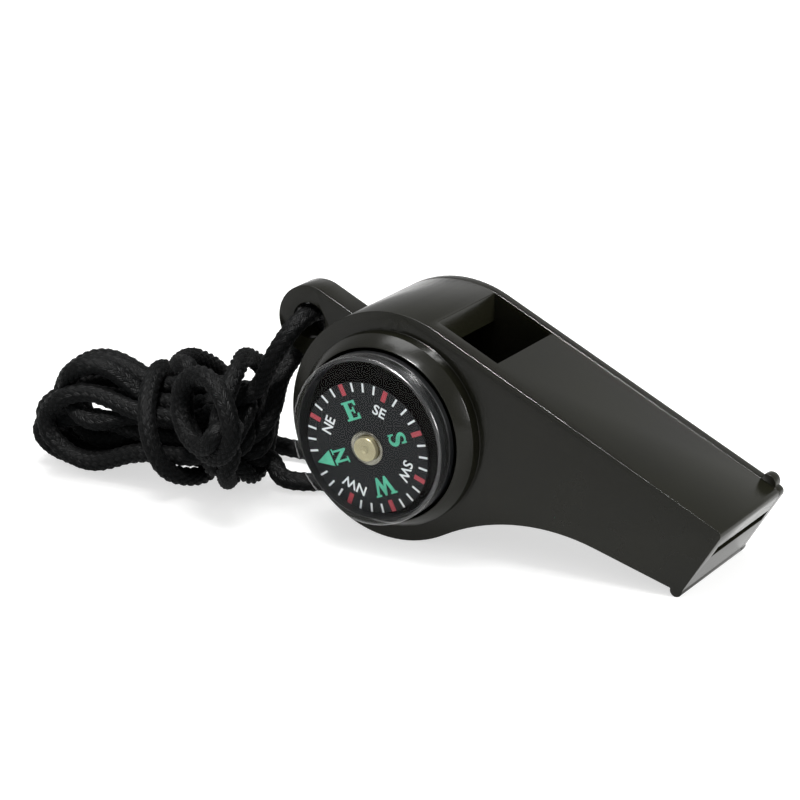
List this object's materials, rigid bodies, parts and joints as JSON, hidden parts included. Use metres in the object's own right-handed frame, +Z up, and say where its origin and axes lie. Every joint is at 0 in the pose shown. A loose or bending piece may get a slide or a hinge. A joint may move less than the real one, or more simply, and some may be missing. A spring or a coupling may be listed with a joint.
{
  "type": "survival whistle",
  "caption": "Dark olive pea whistle with a button compass on one side, a thermometer on the other and a black neck lanyard tied in a bundle.",
  "frame": {"origin": "middle of the whistle's box on the surface that it rests on, without the lanyard", "axes": "+X towards the mouthpiece, +Y out of the thermometer, away from the compass, +Z up"},
  "size_m": [0.0973, 0.0282, 0.0276],
  "materials": {
    "olive_plastic": "polished moulded, dark olive",
    "black_plastic": "satin moulded",
    "clear_plastic": "clear polished",
    "card_black": "printed matt",
    "nickel": "bright plated",
    "pale_brass": "pale, polished",
    "steel": "ground",
    "cork": "pressed cork",
    "tube_glass": "clear drawn",
    "red_spirit": "clear red",
    "black_cord": "braided, limp"
  },
  "bodies": {
    "root": {"main_moulding": "olive_plastic", "side_cover": "olive_plastic", "pea": "cork", "compass_cup": "black_plastic", "compass_lens": "clear_plastic", "pivot_pin": "steel", "thermometer_cup": "black_plastic", "thermometer_lens": "clear_plastic", "thermometer_dial": "card_black", "thermometer_tube": "tube_glass", "thermometer_spirit": "red_spirit", "lanyard_lead": "black_cord", "lanyard_bows": "black_cord", "lanyard_wrap": "black_cord", "lanyard_tail": "black_cord"},
    "compass_rotor": {"compass_card": "card_black", "card_hub": "nickel", "jewel_cap": "pale_brass", "card_magnet": "steel"}
  },
  "joints": [
    {"name": "card_spin", "type": "hinge", "parent": "root", "child": "compass_rotor", "pos_m": [-0.01164, -0.01265, 0.01259], "axis": [0.0144, -0.9972, -0.0732], "continuous": true}
  ]
}
